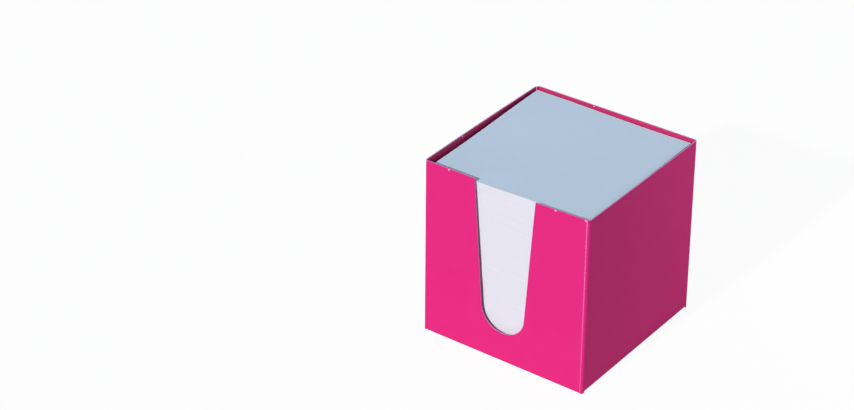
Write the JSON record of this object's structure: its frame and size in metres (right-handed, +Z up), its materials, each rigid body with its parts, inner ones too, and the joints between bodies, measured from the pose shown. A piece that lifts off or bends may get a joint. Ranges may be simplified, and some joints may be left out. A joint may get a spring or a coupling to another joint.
{
  "type": "memo cube",
  "caption": "Open folded carton that holds a stack of loose square note sheets, with a tapered finger notch in one wall for taking the sheets out.",
  "frame": {"origin": "middle of the base, on the surface that the box stands on", "axes": "+Z up to the open rim; the wall with the finger notch faces -Y; +X to the right of someone who looks at the notch"},
  "size_m": [0.095, 0.0954, 0.097],
  "materials": {
    "coated_board": "pink coated folding board, satin, with pale cut edges",
    "white_paper": "uncoated white writing paper, matt",
    "pale_blue_paper": "uncoated pale blue paper, matt"
  },
  "bodies": {
    "root": {"folded_box": "coated_board", "paper_stack": "white_paper", "top_sheet": "pale_blue_paper"}
  },
  "joints": []
}
